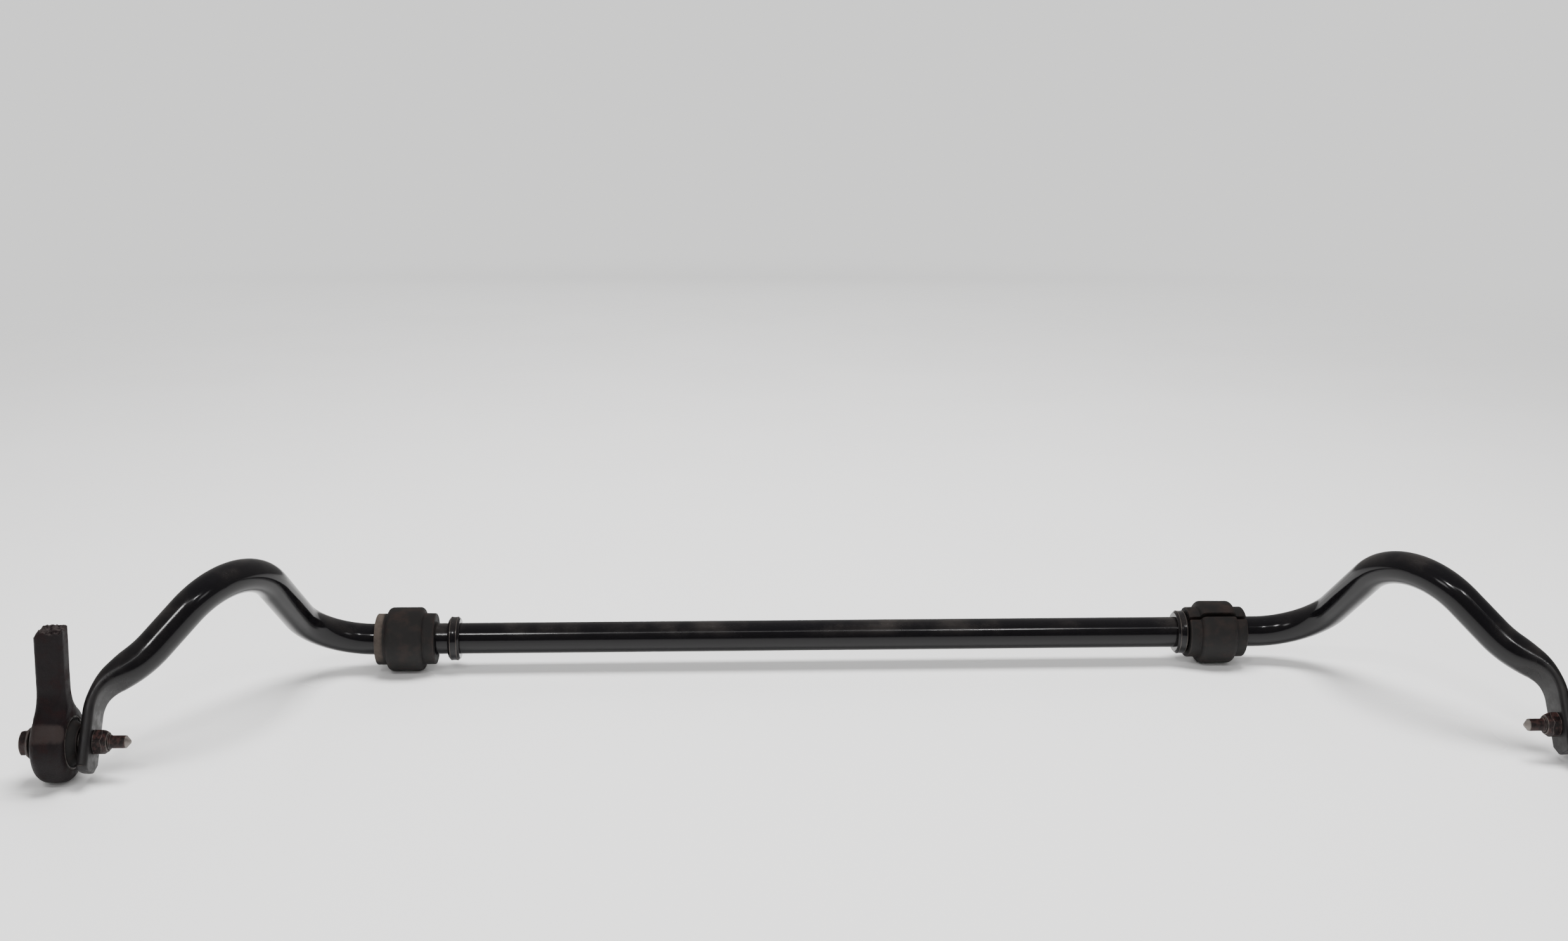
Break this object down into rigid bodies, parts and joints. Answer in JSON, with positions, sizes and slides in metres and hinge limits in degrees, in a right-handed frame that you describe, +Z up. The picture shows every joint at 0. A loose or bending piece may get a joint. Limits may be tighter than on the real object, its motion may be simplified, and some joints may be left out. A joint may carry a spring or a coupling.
{
  "type": "sway bar",
  "caption": "Round torsion bar with humped arms, stop rings, split rubber frame bushes and the lower half of a bolted-on drop link at each flattened end.",
  "frame": {"origin": "on the bar's axis, half way along it", "axes": "+X along the bar to its right end, arms towards -Y, +Z up as the bar lies on its frame bushes and link eyes"},
  "size_m": [1.2502, 0.2885, 0.1402],
  "materials": {
    "bar_paint": "gloss",
    "bush_rubber": "matte",
    "link_forging": "satin, worn and slightly rusty",
    "sleeve_steel": "satin",
    "rusty_fastener": "dull, rusty"
  },
  "bodies": {
    "bar": {"bar": "bar_paint", "stop_ring_left": "bar_paint", "stop_ring_right": "bar_paint", "inner_sleeve_left": "sleeve_steel", "inner_sleeve_right": "sleeve_steel", "bolt_left": "rusty_fastener", "bolt_right": "rusty_fastener", "nut_left": "rusty_fastener", "nut_right": "rusty_fastener"},
    "frame_bush_left": {"frame_bush_left": "bush_rubber"},
    "frame_bush_right": {"frame_bush_right": "bush_rubber"},
    "link_left": {"link_left": "link_forging", "bush_shell_left": "sleeve_steel", "link_rubber_left": "bush_rubber"},
    "link_right": {"link_right": "link_forging", "bush_shell_right": "sleeve_steel", "link_rubber_right": "bush_rubber"}
  },
  "joints": [
    {"name": "frame_bush_left_turn", "type": "hinge", "parent": "bar", "child": "frame_bush_left", "pos_m": [-0.37375, 0, 0], "axis": [1, 0, 0], "continuous": true},
    {"name": "frame_bush_right_turn", "type": "hinge", "parent": "bar", "child": "frame_bush_right", "pos_m": [0.36275, 0, 0], "axis": [1, 0, 0], "continuous": true},
    {"name": "link_left_swing", "type": "hinge", "parent": "bar", "child": "link_left", "pos_m": [-0.59865, -0.23, 0.0015], "axis": [1, 0, 0], "range_deg": [-30, 30], "stiffness_Nm_per_rad": 12},
    {"name": "link_right_swing", "type": "hinge", "parent": "bar", "child": "link_right", "pos_m": [0.59865, -0.23, 0.0015], "axis": [1, 0, 0], "range_deg": [-30, 30], "stiffness_Nm_per_rad": 12}
  ]
}
